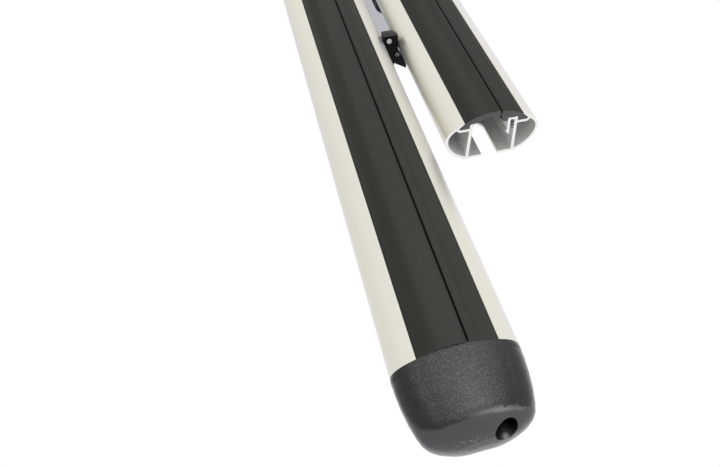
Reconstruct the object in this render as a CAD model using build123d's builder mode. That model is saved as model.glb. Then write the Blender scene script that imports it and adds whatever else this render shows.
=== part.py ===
"""Pair of aluminium roof cross bars, lying side by side on their feet.

Millimetres. Every bar runs along +Y, +X is to the right when the near ends are looked at, +Z is up.
The section of a bar is drawn with its origin at the middle of the flat underside.
The finished pair is placed so that the origin is the bottom centre of its bounding box.
"""
from build123d import *
from math import acos, asin, degrees, sqrt
import os

# Oval bar section
bar_width = 70.0
belly_height = 20.5
roof_rise = 18.3
keel_drop = 24.3
shell_wall = 2.2
floor_wall = 2.2
keel_corner_radius = 3.0

# Rubber opening and the two pockets that hold the rubber edges
opening_half = 21.8
lip_nose = 0.6
pocket_half = 25.6
pocket_height = 30.7
shelf_height = 29.3
shelf_wall = 2.2
shelf_run_out = 3.0
shelf_end_step = 0.4
pocket_slope = 0.5

# Upright webs inside the section, leaning a little outwards at the floor
web_wall = 2.3
web_half_top = 15.4
web_half_foot = 16.3
web_height = 33.1
web_top_radius = 1.0

# Screw port beside the right web
port_gap = 3.1
port_wall = 1.9
port_foot_height = 17.5
port_barb_height = 21.3
port_barb_reach = 1.0
port_bridge_wall = 2.0
port_bridge_drop = 0.2
port_foot_flat = 0.4

# Bars
bar_length = 1300.0
bar_gap = 12.0
bar_stagger = 157.8
end_slot_width = 12.4
end_slot_length = 33.0

# Rubber strips
crown_height = 41.1
slit_x = 4.6
slit_width = 1.3
slit_depth = 2.2
slit_seam = 0.2
flap_thickness = 4.3
rubber_clearance = 0.15
bulb_x = -8.7
bulb_radius = 1.7
bulb_bore_radius = 0.8
bulb_drop = 1.5
rubber_bevel = 0.8
rubber_lip_relief = 0.4
rubber_heel_depth = 2.4
rubber_heel_slope = 0.5
rubber_side_bevel = 1.4
flap_edge_bevel = 0.5
flap_edge_rise = 1.2

# How far cutting shapes reach past the face they cut
cut_reach = 1.0

# End caps. Each row: distance from the bar's end, then how far the sides, the top and the underside draw in
cap_crown_drop = 0.7
cap_taper = (
    (0.0, 0.0, 0.0, 0.0),
    (8.0, 0.3, 0.2, 0.1),
    (16.0, 1.2, 0.6, 0.3),
    (24.0, 2.7, 1.3, 0.8),
    (30.5, 4.5, 2.3, 1.7),
    (34.3, 6.1, 3.4, 2.6),
    (36.8, 8.2, 5.3, 3.9),
    (38.8, 11.3, 8.0, 5.8),
    (40.6, 16.0, 11.4, 8.3),
    (41.9, 21.6, 15.4, 11.4),
    (42.6, 28.6, 19.8, 15.1),
)
cap_length = cap_taper[-1][0]
cap_wall = 3.0
cap_side_wall = 4.2
cap_shoulder_wall = 6.0
cap_hollow_top = 32.2
cap_hollow_depth = 27.0
cap_hollow_draft = 7.0
cap_seat_wall = 3.0

# Hollow tongues of a cap. Each point of the outer side: distance in from the bar's side, height
tongue_points = ((11.0, 6.8), (5.0, 13.2), (3.2, 20.5), (5.6, 26.0))
tongue_gap = 0.5
tongue_floor_gap = 2.6
tongue_length = 18.0
tongue_wall = 2.0
tongue_plate_inner = 12.0

# Cap screws
recess_diameter = 12.2
recess_x = 10.6
recess_wall = 2.0
screw_height = 26.0
screw_core_diameter = 2.9
screw_hole_diameter = 4.4
screw_head_diameter = 6.2
screw_head_height = 2.4
screw_length = 16.0
screw_drive_width = 2.6
screw_drive_depth = 1.4
screw_chamfer = 0.8

# Feet
foot_height = 40.0
pad_thickness = 4.0
foot_length = 80.0
foot_setback = 278.2
foot_top_half = 24.0
foot_base_half = 17.0
cheek_rise = 3.6
seat_gap = 0.3
tab_length = 20.0
tab_height = 8.0
fix_hole_diameter = 8.5
fix_hole_inset = 10.0
foot_pocket_depth = 3.0
foot_pocket_border = 9.0
foot_pocket_raise = 1.0

# Upright lug on the right of each foot. Its x places count from the bar's right side
lug_thickness = 8.5
lug_left = -0.9
lug_right = 11.0
lug_top = 30.8
lug_root = ((-11.0, -12.0), (0.6, -9.0), (6.6, -3.7))
lug_notch = (8.2, 3.3)
lug_toe_right = 18.7
lug_toe_bottom = -3.7
lug_toe_top = 4.0
lug_shoulder = (15.0, 9.0)
lug_waist = (11.3, 16.0)
lug_chamfer_x = 2.7
lug_chamfer_y = 5.0
lug_screw_diameter = 3.0
lug_screw_length = 6.5
lug_screw_head_diameter = 4.6
lug_screw_head_height = 1.1
lug_screw_chamfer = 0.4
lug_screw_tip_gap = 0.5
lug_screw_points = ((3.6, 26.3), (10.6, 12.4))

# Foot fasteners
bolt_diameter = 6.0
bolt_length = 35.0
bolt_head_width = 10.0
bolt_head_height = 6.0
bolt_spacing = 44.0
bolt_hole_clearance = 0.6
thread_clearance = 0.1
flange_diameter = 12.4
flange_thickness = 1.5
counterbore_depth = 12.0
counterbore_clearance = 0.6
nut_width = 28.0
nut_length = 60.0
nut_thickness = 5.0
nut_chamfer = 0.8

bar_half = bar_width / 2
bar_pitch = bar_width + bar_gap
foot_body_height = foot_height - pad_thickness
flat_half = bar_half * sqrt(1 - (belly_height / keel_drop) ** 2)


def roof_height(x):
    """Height of the upper oval above the underside, x from the middle."""
    return belly_height + roof_rise * sqrt(1 - (x / bar_half) ** 2)


def web_inner(z):
    """Distance of a web's inner face from the middle at height z."""
    share = (web_height - z) / (web_height - floor_wall)
    return web_half_top + (web_half_foot - web_half_top) * share


opening_height = roof_height(opening_half)
crown_rise = crown_height - opening_height
crown_radius = (opening_half**2 + crown_rise**2) / (2 * crown_rise)
crown_centre = crown_height - crown_radius


def crown_z(x, drop=0.0):
    """Height of the rubber's arched top at x, or of the arc that lies drop below it."""
    return crown_centre + sqrt((crown_radius - drop) ** 2 - x**2)


screw_x = web_inner(screw_height) - port_gap / 2
port_left = web_inner(web_height) - port_gap - port_wall


def full_oval(margin):
    """The bar's whole oval, margin larger all round."""
    with BuildSketch() as face:
        with BuildLine():
            EllipticalCenterArc((0, belly_height), bar_half + margin, roof_rise + margin, 0, arc_size=180)
            EllipticalCenterArc((0, belly_height), bar_half + margin, keel_drop + margin, 180, arc_size=180)
        make_face()
    return face.sketch


# Oval of the bar, cut flat below and closed over the top
with BuildSketch() as oval:
    add(full_oval(0))
    with Locations((0, crown_height)):
        Rectangle(3 * bar_width, 2 * crown_height, mode=Mode.INTERSECT)
    fillet(oval.vertices().group_by(Axis.Y)[0], keel_corner_radius)

shelf_under = shelf_height - shelf_wall
shelf_corner = pocket_half - shelf_end_step


def side_space(gap):
    """Hollow between shell and right web, below the shelf, drawn gap inside its walls."""
    with BuildSketch() as space:
        add(full_oval(-shell_wall - gap))
        with BuildLine():
            Polyline(
                (web_inner(shelf_under) + web_wall + gap, shelf_under - gap),
                (web_inner(0) + web_wall + gap, 0),
                (bar_width, 0),
                (bar_width, shelf_under + bar_width - shelf_corner - gap),
                (shelf_corner + shelf_run_out, shelf_under + shelf_run_out - gap),
                (shelf_corner, shelf_under - gap),
                close=True,
            )
        make_face(mode=Mode.INTERSECT)
    return space.sketch


# Upper half of the right web, with its rounded top
with BuildSketch() as web:
    with BuildLine():
        Polyline(
            (web_inner(web_height), web_height),
            (web_inner(belly_height), belly_height),
            (web_inner(belly_height) + web_wall, belly_height),
            (web_inner(web_height) + web_wall, web_height),
            close=True,
        )
    make_face()
    fillet(web.vertices().group_by(Axis.Y)[-1], web_top_radius)

# Aluminium section of the bar
with BuildSketch() as bar_section:
    add(oval.sketch)
    add(side_space(0), mode=Mode.SUBTRACT)
    add(mirror(side_space(0), about=Plane.YZ, mode=Mode.PRIVATE), mode=Mode.SUBTRACT)
    with BuildLine():
        Polyline(
            (-opening_half, crown_height + cut_reach),
            (-opening_half, opening_height - lip_nose),
            (-pocket_half, pocket_height),
            (-pocket_half + pocket_slope, shelf_height),
            (pocket_half - pocket_slope, shelf_height),
            (pocket_half, pocket_height),
            (opening_half, opening_height - lip_nose),
            (opening_half, crown_height + cut_reach),
            close=True,
        )
    make_face(mode=Mode.SUBTRACT)
    with BuildLine():
        Polyline(
            (-web_inner(crown_height), crown_height),
            (-web_inner(floor_wall), floor_wall),
            (web_inner(floor_wall), floor_wall),
            (web_inner(crown_height), crown_height),
            close=True,
        )
    make_face(mode=Mode.SUBTRACT)
    add(web.sketch)
    add(mirror(web.sketch, about=Plane.YZ, mode=Mode.PRIVATE))
    # Inner leg of the screw port, hung from the web by a bridge under the rubber
    with BuildLine():
        Polyline(
            (web_inner(web_height) - port_gap, web_height),
            (port_left, web_height),
            (web_inner(port_barb_height) - port_gap - port_wall, port_barb_height + port_barb_reach),
            (web_inner(port_barb_height) - port_gap - port_wall - port_barb_reach, port_barb_height),
            (web_inner(port_foot_height) - port_gap - port_foot_flat, port_foot_height),
            (web_inner(port_foot_height) - port_gap, port_foot_height),
            close=True,
        )
    make_face()
    with BuildLine():
        Polyline(
            (web_inner(web_height) - port_gap - port_wall / 2, web_height - port_bridge_drop),
            (web_inner(web_height) - port_gap - port_wall / 2, web_height - port_bridge_wall),
            (web_inner(web_height) + web_wall / 2, web_height - port_bridge_wall),
            (web_inner(web_height) + web_wall / 2, web_height - port_bridge_drop),
            close=True,
        )
    make_face()


def foot_starts():
    """Near face of each of a bar's two feet, measured from the bar's near end."""
    return (foot_setback, bar_length - foot_setback - foot_length)


def bolt_offsets():
    """Bolt places of one foot, measured from the foot's near face."""
    return tuple(foot_length / 2 + side * bolt_spacing / 2 for side in (-1, 1))


# Extrusion: one length of the section, slotted at both ends and drilled for the feet
slot_round = end_slot_width / 2
with BuildPart() as extrusion:
    with BuildSketch(Plane.XZ) as extruded_section:
        add(bar_section.sketch)
    extrude(amount=-bar_length)
    with BuildSketch(Plane.XY) as end_slots:
        for end, inward in ((0, 1), (bar_length, -1)):
            with Locations((0, end)):
                Rectangle(end_slot_width, 2 * (end_slot_length - slot_round))
            with Locations((0, end + inward * (end_slot_length - slot_round))):
                Circle(slot_round)
    extrude(amount=floor_wall, mode=Mode.SUBTRACT)
    with BuildSketch(Plane.XY) as bolt_holes:
        with Locations([(0, start + offset) for start in foot_starts() for offset in bolt_offsets()]):
            Circle((bolt_diameter + bolt_hole_clearance) / 2)
    extrude(amount=floor_wall, mode=Mode.SUBTRACT)

# Wide rubber strip on the left: its edge sits in the left pocket, its other edge is the slit
slit_left = slit_x - slit_width / 2
seam_left = slit_x - slit_seam / 2
flap_under = crown_z(slit_left, flap_thickness)
web_outer_top = web_inner(web_height) + web_wall
rest_height = web_height + rubber_clearance
edge_half = opening_half - rubber_clearance
with BuildSketch() as flap_section:
    with BuildLine():
        ThreePointArc(
            (-edge_half, crown_z(edge_half)),
            ((slit_left - edge_half) / 2, crown_z((slit_left - edge_half) / 2)),
            (slit_left, crown_z(slit_left)),
        )
        Polyline(
            (slit_left, crown_z(slit_left)),
            (slit_left, crown_z(slit_left) - slit_depth),
            (seam_left, crown_z(slit_left) - slit_depth - rubber_lip_relief),
            (seam_left, flap_under + flap_edge_bevel),
            (seam_left - rubber_bevel, flap_under),
        )
        ThreePointArc(
            (seam_left - rubber_bevel, flap_under),
            (bulb_x / 2, crown_z(bulb_x / 2, flap_thickness + slit_seam)),
            (bulb_x, crown_z(bulb_x, flap_thickness + cut_reach)),
        )
        Polyline(
            (bulb_x, crown_z(bulb_x, flap_thickness + cut_reach)),
            (-web_half_top + rubber_bevel, rest_height),
            (-web_outer_top - rubber_clearance, rest_height),
            (-web_outer_top - rubber_clearance, shelf_height + rubber_side_bevel),
            (-web_outer_top - rubber_bevel, shelf_height),
            (-pocket_half + rubber_bevel, shelf_height),
            (-pocket_half + lip_nose, pocket_height - rubber_lip_relief),
            (-edge_half, opening_height - lip_nose - rubber_lip_relief),
            (-edge_half, crown_z(edge_half)),
        )
    make_face()
    with Locations((bulb_x, crown_z(bulb_x, flap_thickness + bulb_drop))):
        Circle(bulb_radius)
        Circle(bulb_bore_radius, mode=Mode.SUBTRACT)

# Narrow rubber strip on the right: a heel straddles the screw port and the right web
slit_right = slit_x + slit_width / 2
seam_right = slit_x + slit_seam / 2
heel_left = slit_x + rubber_bevel
heel_right = port_left - rubber_clearance
with BuildSketch() as keeper_section:
    with BuildLine():
        ThreePointArc(
            (slit_right, crown_z(slit_right)),
            ((slit_right + edge_half) / 2, crown_z((slit_right + edge_half) / 2)),
            (edge_half, crown_z(edge_half)),
        )
        Polyline(
            (edge_half, crown_z(edge_half)),
            (edge_half, opening_height - lip_nose - rubber_lip_relief),
            (pocket_half - lip_nose, pocket_height - rubber_lip_relief),
            (pocket_half - rubber_bevel, shelf_height),
            (web_outer_top + rubber_bevel, shelf_height),
            (web_outer_top + rubber_clearance, shelf_height + rubber_side_bevel),
            (web_outer_top + rubber_clearance, rest_height),
            (heel_right, rest_height),
            (heel_right, web_height - rubber_heel_depth),
            (heel_right - rubber_heel_depth, web_height - rubber_heel_depth - rubber_heel_slope),
            (heel_left, web_height - rubber_heel_slope),
            (heel_left, flap_under - flap_edge_rise),
            (seam_right, flap_under + rubber_bevel),
            (seam_right, crown_z(slit_right) - slit_depth - rubber_lip_relief),
            (slit_right, crown_z(slit_right) - slit_depth),
            (slit_right, crown_z(slit_right)),
        )
    make_face()

with BuildPart() as flap_strip:
    with BuildSketch(Plane.XZ) as flap_profile:
        add(flap_section.sketch)
    extrude(amount=-bar_length)

with BuildPart() as keeper_strip:
    with BuildSketch(Plane.XZ) as keeper_profile:
        add(keeper_section.sketch)
    extrude(amount=-bar_length)


def cap_section(half_width, top, underside):
    """Section of a cap: the bar's outline with its rubber, drawn to another width and height."""
    middle = underside + (top - underside) * belly_height / (crown_height - cap_crown_drop)
    lip = opening_half / bar_half
    rise = (top - middle) * roof_rise / (crown_height - cap_crown_drop - belly_height)
    drop = (middle - underside) * keel_drop / belly_height
    lip_height = middle + rise * sqrt(1 - lip**2)
    lip_angle = degrees(acos(lip))
    keel_angle = degrees(asin(belly_height / keel_drop))
    keel_half = half_width * sqrt(1 - (belly_height / keel_drop) ** 2)
    with BuildSketch() as outline:
        with BuildLine():
            EllipticalCenterArc((0, middle), half_width, rise, 0, arc_size=lip_angle)
            ThreePointArc((lip * half_width, lip_height), (0, top), (-lip * half_width, lip_height))
            EllipticalCenterArc((0, middle), half_width, rise, 180 - lip_angle, arc_size=lip_angle)
            EllipticalCenterArc((0, middle), half_width, drop, 180, arc_size=keel_angle)
            Line((-keel_half, underside), (keel_half, underside))
            EllipticalCenterArc((0, middle), half_width, drop, 360 - keel_angle, arc_size=keel_angle)
        make_face()
    return outline.sketch


# Outside of a cap, from the bar's end to its domed front
with BuildPart() as cap_form:
    for distance, side_inset, top_inset, keel_inset in cap_taper:
        with BuildSketch(Plane.XZ.offset(distance)) as cap_station:
            add(cap_section(bar_half - side_inset, crown_height - cap_crown_drop - top_inset, keel_inset))
    loft(ruled=True)

# Screw tube of a cap, from the bar's end to the front
with BuildPart() as cap_boss:
    with BuildSketch(Plane.XZ) as boss_outline:
        with Locations((recess_x, screw_height)):
            Circle(recess_diameter / 2 + recess_wall)
    extrude(amount=cap_length)
    add(cap_form.part, mode=Mode.INTERSECT)

# Section of a tongue, clear of shell, shelf and web
tongue_left = web_inner(0) + web_wall + tongue_gap
with BuildSketch() as tongue_outline:
    with BuildLine():
        Polyline(
            (tongue_left, floor_wall + tongue_floor_gap),
            *((bar_half - inset, height) for inset, height in tongue_points),
            (shelf_corner, shelf_under - tongue_gap),
            (tongue_left, shelf_under - tongue_gap),
            close=True,
        )
    make_face()

with BuildPart() as near_cap:
    add(cap_form.part)
    # Hollow, open towards the bar
    with BuildSketch(Plane.XZ) as cap_hollow:
        with BuildLine():
            Polyline(
                (-flat_half, cap_wall),
                (-bar_half + cap_shoulder_wall, belly_height / 2),
                (-bar_half + cap_side_wall, belly_height),
                (-bar_half + cap_shoulder_wall, shelf_height),
                (-opening_half, cap_hollow_top),
                (opening_half, cap_hollow_top),
                (bar_half - cap_shoulder_wall, shelf_height),
                (bar_half - cap_side_wall, belly_height),
                (bar_half - cap_shoulder_wall, belly_height / 2),
                (flat_half, cap_wall),
                close=True,
            )
        make_face()
    extrude(amount=cap_hollow_depth, mode=Mode.SUBTRACT, taper=cap_hollow_draft)
    add(cap_boss.part)
    # Plates that carry the tongues, and the tongues that plug into the bar's side hollows
    with BuildSketch(Plane.XZ) as tongue_plates:
        with Locations((tongue_plate_inner, belly_height)):
            Rectangle(bar_half, belly_height, align=(Align.MIN, Align.CENTER))
        mirror(about=Plane.YZ)
        add(cap_section(bar_half, crown_height - cap_crown_drop, 0), mode=Mode.INTERSECT)
    extrude(amount=cap_seat_wall)
    with BuildSketch(Plane.XZ) as tongues:
        add(tongue_outline.sketch)
        offset(amount=-tongue_wall, kind=Kind.INTERSECTION, mode=Mode.SUBTRACT)
        mirror(about=Plane.YZ)
    extrude(amount=-tongue_length)
    # Recess for the screw's head and the hole for its shank
    with BuildSketch(Plane.XZ.offset(cap_seat_wall)) as recess:
        with Locations((recess_x, screw_height)):
            Circle(recess_diameter / 2)
    extrude(amount=cap_length, mode=Mode.SUBTRACT)
    with BuildSketch(Plane.XZ) as screw_hole:
        with Locations((screw_x, screw_height)):
            Circle(screw_hole_diameter / 2)
    extrude(amount=cap_seat_wall, mode=Mode.SUBTRACT)

with BuildPart() as cap_screw:
    with BuildSketch(Plane.XZ.offset(cap_seat_wall)) as screw_head:
        with Locations((screw_x, screw_height)):
            Circle(screw_head_diameter / 2)
    extrude(amount=screw_head_height)
    chamfer(cap_screw.faces().sort_by(Axis.Y)[0].edges(), screw_chamfer)
    with BuildSketch(Plane.XZ.offset(cap_seat_wall)) as screw_shank:
        with Locations((screw_x, screw_height)):
            Circle(screw_core_diameter / 2)
    extrude(amount=-screw_length)
    chamfer(cap_screw.faces().sort_by(Axis.Y)[-1].edges(), screw_chamfer)
    with BuildSketch(Plane.XZ.offset(cap_seat_wall + screw_head_height)) as screw_drive:
        with Locations((screw_x, screw_height)):
            RegularPolygon(screw_drive_width / 2, 6)
    extrude(amount=-screw_drive_depth, mode=Mode.SUBTRACT)

# Foot body: z = 0 is the bar's underside, y = 0 the near face of the saddle
body_bottom = -foot_body_height
lug_plane = Plane.XZ.move(Location((bar_half, 0, 0)))
with BuildPart() as foot_body:
    with BuildSketch(Plane.XZ) as saddle:
        with BuildLine():
            Polyline(
                (-foot_base_half, body_bottom),
                (-foot_top_half, 0),
                (-foot_top_half, cheek_rise),
                (foot_top_half, cheek_rise),
                (foot_top_half, 0),
                (foot_base_half, body_bottom),
                close=True,
            )
        make_face()
    extrude(amount=-foot_length)
    # Tabs with the holes that fix the foot to a vehicle
    with BuildSketch(Plane.XY.offset(body_bottom)) as tabs:
        with Locations((0, foot_length / 2)):
            SlotCenterToCenter(
                foot_length + 2 * tab_length - 2 * foot_base_half, 2 * foot_base_half, rotation=90
            )
    extrude(amount=tab_height)
    # Sunk panels in both long sides
    with BuildSketch(Plane.YZ) as side_panel:
        with Locations((foot_length / 2, foot_pocket_raise - foot_body_height / 2)):
            Rectangle(foot_length - 2 * foot_pocket_border, foot_body_height - 2 * foot_pocket_border)
    extrude(amount=bar_width, both=True, mode=Mode.SUBTRACT)
    with BuildSketch(Plane.XZ.offset(-foot_pocket_border / 2)) as core:
        with BuildLine():
            Polyline(
                (-foot_base_half + foot_pocket_depth, body_bottom),
                (-foot_top_half + foot_pocket_depth, 0),
                (foot_top_half - foot_pocket_depth, 0),
                (foot_base_half - foot_pocket_depth, body_bottom),
                close=True,
            )
        make_face()
    extrude(amount=-foot_length + foot_pocket_border)
    # Lug that stands up beside the bar
    with BuildSketch(lug_plane) as lug:
        with BuildLine():
            Polyline(
                *lug_root,
                lug_notch,
                (lug_toe_right, lug_toe_bottom),
                (lug_toe_right, lug_toe_top),
                lug_shoulder,
                lug_waist,
                (lug_right, lug_top),
                (lug_left, lug_top),
                (lug_left, belly_height),
                (foot_base_half - bar_half, 0),
                (foot_base_half - bar_half, body_bottom / 2),
                close=True,
            )
        make_face()
    extrude(amount=-lug_thickness)
    lug_chamfer_run_out = lug_chamfer_y * cut_reach / lug_chamfer_x
    with BuildSketch(Plane.XY.offset(belly_height)) as lug_corner:
        with BuildLine():
            Polyline(
                (bar_half + lug_right - lug_chamfer_x, lug_thickness),
                (bar_half + lug_right + cut_reach, lug_thickness - lug_chamfer_y - lug_chamfer_run_out),
                (bar_half + lug_right + cut_reach, lug_thickness),
                close=True,
            )
        make_face()
    extrude(amount=lug_top, mode=Mode.SUBTRACT)
    # Seat: flat faces touch under the bar, the curved flanks stay clear of it
    with BuildSketch(Plane.XZ.offset(cut_reach)) as seat:
        add(full_oval(seat_gap))
        Rectangle(4 * bar_width, 2 * bar_width, align=(Align.CENTER, Align.MIN), mode=Mode.INTERSECT)
    extrude(amount=-foot_length - 2 * cut_reach, mode=Mode.SUBTRACT)
    # Bolt holes, counterbored from below
    with BuildSketch(Plane.XY.offset(body_bottom)) as foot_bolt_holes:
        with Locations([(0, offset_y) for offset_y in bolt_offsets()]):
            Circle((bolt_diameter + bolt_hole_clearance) / 2)
    extrude(amount=foot_body_height, mode=Mode.SUBTRACT)
    with BuildSketch(Plane.XY.offset(body_bottom)) as counterbores:
        with Locations([(0, offset_y) for offset_y in bolt_offsets()]):
            Circle((flange_diameter + counterbore_clearance) / 2)
    extrude(amount=counterbore_depth, mode=Mode.SUBTRACT)
    # Holes in the tabs
    with BuildSketch(Plane.XY.offset(body_bottom)) as fix_holes:
        with Locations((0, fix_hole_inset - tab_length), (0, foot_length + tab_length - fix_hole_inset)):
            Circle(fix_hole_diameter / 2)
    extrude(amount=tab_height, mode=Mode.SUBTRACT)
    # Screw holes in the lug's near face
    with BuildSketch(lug_plane) as lug_screw_holes:
        with Locations(*lug_screw_points):
            Circle(lug_screw_diameter / 2)
    extrude(amount=-lug_screw_length, mode=Mode.SUBTRACT)

with BuildPart() as foot_pad:
    with BuildSketch(Plane.XY.offset(-foot_height)) as pad_outline:
        with Locations((0, foot_length / 2)):
            SlotCenterToCenter(
                foot_length + 2 * tab_length - 2 * foot_base_half, 2 * foot_base_half, rotation=90
            )
        with Locations([(0, offset_y) for offset_y in bolt_offsets()]):
            Circle((flange_diameter + counterbore_clearance) / 2, mode=Mode.SUBTRACT)
        with Locations((0, fix_hole_inset - tab_length), (0, foot_length + tab_length - fix_hole_inset)):
            Circle(fix_hole_diameter / 2, mode=Mode.SUBTRACT)
    extrude(amount=pad_thickness)

with BuildPart() as nut_plate:
    with BuildSketch(Plane.XY.offset(floor_wall)) as plate_outline:
        with Locations((0, foot_length / 2)):
            Rectangle(nut_width, nut_length)
        with Locations([(0, offset_y) for offset_y in bolt_offsets()]):
            Circle(bolt_diameter / 2 + thread_clearance, mode=Mode.SUBTRACT)
    extrude(amount=nut_thickness)
    chamfer(nut_plate.faces().sort_by(Axis.Z)[-1].outer_wire().edges(), nut_chamfer)

# Hexagon bolts with a flange under the head
head_seat = body_bottom + counterbore_depth
with BuildPart() as foot_bolts:
    with BuildSketch(Plane.XY.offset(head_seat)) as bolt_flanges:
        with Locations([(0, offset_y) for offset_y in bolt_offsets()]):
            Circle(flange_diameter / 2)
    extrude(amount=-flange_thickness)
    with BuildSketch(Plane.XY.offset(head_seat - flange_thickness)) as bolt_heads:
        with Locations([(0, offset_y) for offset_y in bolt_offsets()]):
            RegularPolygon(bolt_head_width / 2, 6, major_radius=False)
    extrude(amount=flange_thickness - bolt_head_height)
    with BuildSketch(Plane.XY.offset(head_seat)) as bolt_shanks:
        with Locations([(0, offset_y) for offset_y in bolt_offsets()]):
            Circle(bolt_diameter / 2)
    extrude(amount=bolt_length)

with BuildPart() as lug_screws:
    with BuildSketch(lug_plane) as lug_screw_heads:
        with Locations(*lug_screw_points):
            Circle(lug_screw_head_diameter / 2)
    extrude(amount=lug_screw_head_height)
    chamfer(lug_screws.faces().group_by(Axis.Y)[0].edges(), lug_screw_chamfer)
    with BuildSketch(lug_plane) as lug_screw_shanks:
        with Locations(*lug_screw_points):
            Circle(lug_screw_diameter / 2 - thread_clearance)
    extrude(amount=lug_screw_tip_gap - lug_screw_length)

# Places of the two bars: the pair's bounding box is centred on the origin and stands on z = 0
pair_left = -bar_half
pair_right = bar_pitch + bar_half + lug_toe_right
pair_near = -cap_length
pair_far = bar_stagger + bar_length + cap_length
centre_x = (pair_left + pair_right) / 2
centre_y = (pair_near + pair_far) / 2
bar_places = {
    "left_bar": (-centre_x, -centre_y),
    "right_bar": (bar_pitch - centre_x, bar_stagger - centre_y),
}

os.makedirs("parts", exist_ok=True)


def write_piece(piece, name, x, y):
    """Writes one piece at its place on the pair."""
    placed = piece.moved(Location((x, y, foot_height)))
    placed.label = name
    export_step(placed, f"parts/{name}.step")


far_cap = mirror(near_cap.part, about=Plane.XZ.offset(-bar_length / 2))
far_cap_screw = mirror(cap_screw.part, about=Plane.XZ.offset(-bar_length / 2))

for bar, (bar_x, bar_y) in bar_places.items():
    write_piece(extrusion.part, f"{bar}_extrusion", bar_x, bar_y)
    write_piece(flap_strip.part, f"{bar}_wide_strip", bar_x, bar_y)
    write_piece(keeper_strip.part, f"{bar}_narrow_strip", bar_x, bar_y)
    write_piece(far_cap, f"{bar}_far_cap", bar_x, bar_y)
    write_piece(far_cap_screw, f"{bar}_far_cap_screw", bar_x, bar_y)
    for end, start in zip(("near", "far"), foot_starts()):
        foot = f"{bar}_{end}_foot"
        write_piece(foot_body.part, f"{foot}_body", bar_x, bar_y + start)
        write_piece(foot_pad.part, f"{foot}_pad", bar_x, bar_y + start)
        write_piece(nut_plate.part, f"{foot}_nut_plate", bar_x, bar_y + start)
        write_piece(foot_bolts.part, f"{foot}_bolts", bar_x, bar_y + start)
        write_piece(lug_screws.part, f"{foot}_lug_screws", bar_x, bar_y + start)

# The right bar's near end is open, so only the left bar has a near cap
left_x, left_y = bar_places["left_bar"]
write_piece(near_cap.part, "left_bar_near_cap", left_x, left_y)
write_piece(cap_screw.part, "left_bar_near_cap_screw", left_x, left_y)
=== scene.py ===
"""Looks of a pair of aluminium roof cross bars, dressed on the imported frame.

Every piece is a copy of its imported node, with merged faces, softened edges and a finish.
Lengths in the classes below are millimetres, and MM turns them into the scene's metres.
The bars run along +Y, the near ends face the camera, and +Z is up.
"""

from __future__ import annotations

import logging
import math
from dataclasses import dataclass
from enum import Enum
from typing import Callable, Iterable, Union

import bpy
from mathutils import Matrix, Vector

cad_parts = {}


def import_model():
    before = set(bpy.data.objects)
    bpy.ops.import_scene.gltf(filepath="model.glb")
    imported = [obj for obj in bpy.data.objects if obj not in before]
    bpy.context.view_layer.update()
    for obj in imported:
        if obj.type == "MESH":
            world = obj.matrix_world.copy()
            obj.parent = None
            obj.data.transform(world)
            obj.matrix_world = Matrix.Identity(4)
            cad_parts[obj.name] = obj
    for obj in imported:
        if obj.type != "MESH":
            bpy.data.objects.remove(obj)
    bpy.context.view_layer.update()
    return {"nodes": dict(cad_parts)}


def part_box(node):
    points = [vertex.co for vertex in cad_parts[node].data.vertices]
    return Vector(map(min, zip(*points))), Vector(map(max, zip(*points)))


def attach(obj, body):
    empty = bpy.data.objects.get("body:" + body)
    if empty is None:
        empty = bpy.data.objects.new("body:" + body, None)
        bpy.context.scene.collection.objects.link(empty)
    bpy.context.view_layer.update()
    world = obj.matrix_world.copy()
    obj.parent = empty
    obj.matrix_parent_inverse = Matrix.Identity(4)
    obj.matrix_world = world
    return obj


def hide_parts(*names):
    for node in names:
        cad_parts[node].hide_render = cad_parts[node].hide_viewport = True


LOG = logging.getLogger("roof_bars")

Colour = tuple[float, float, float]
Place = tuple[float, float, float]
Value = Union[bpy.types.NodeSocket, float]
Tint = Union[bpy.types.NodeSocket, Colour]

MM = 0.001
WHITE: Colour = (1.0, 1.0, 1.0)
BLACK: Colour = (0.0, 0.0, 0.0)


class Slot(Enum):
    """Material slots of the record, whose names begin the names of the finishes' materials."""

    ALUMINIUM = "bare_aluminium"
    RUBBER = "black_rubber"
    MOULDING = "black_moulding"
    STEEL = "plated_steel"


class Bar(Enum):
    """The two bars of the pair, named as their pieces are."""

    LEFT = "left_bar"
    RIGHT = "right_bar"


class End(Enum):
    """Ends of a bar, seen from the camera."""

    NEAR = "near"
    FAR = "far"


@dataclass(frozen=True)
class Layout:
    """Where the bars lie in the frame, in millimetres."""

    left_middle: float
    right_middle: float
    width: float
    base: float
    near_face: float

    @classmethod
    def read(cls) -> Layout:
        """Reads the boxes of the extrusions and of the left bar's near cap.

        Returns:
            The layout.
        """
        left_low, left_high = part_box(f"{Bar.LEFT.value}_extrusion")
        right_low, right_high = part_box(f"{Bar.RIGHT.value}_extrusion")
        cap_low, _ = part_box(f"{Bar.LEFT.value}_{End.NEAR.value}_cap")
        return cls(
            left_middle=(left_low[0] + left_high[0]) / 2 / MM,
            right_middle=(right_low[0] + right_high[0]) / 2 / MM,
            width=(left_high[0] - left_low[0]) / MM,
            base=left_low[2] / MM,
            near_face=cap_low[1] / MM,
        )

    def from_near_face(self, offset: Place) -> Place:
        """Finds a place from the lowest point in the middle of the left bar's near end face.

        Args:
            offset: how far to the right, back and up.

        Returns:
            The place.
        """
        right, back, up = offset
        return (self.left_middle + right, self.near_face + back, self.base + up)


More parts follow.
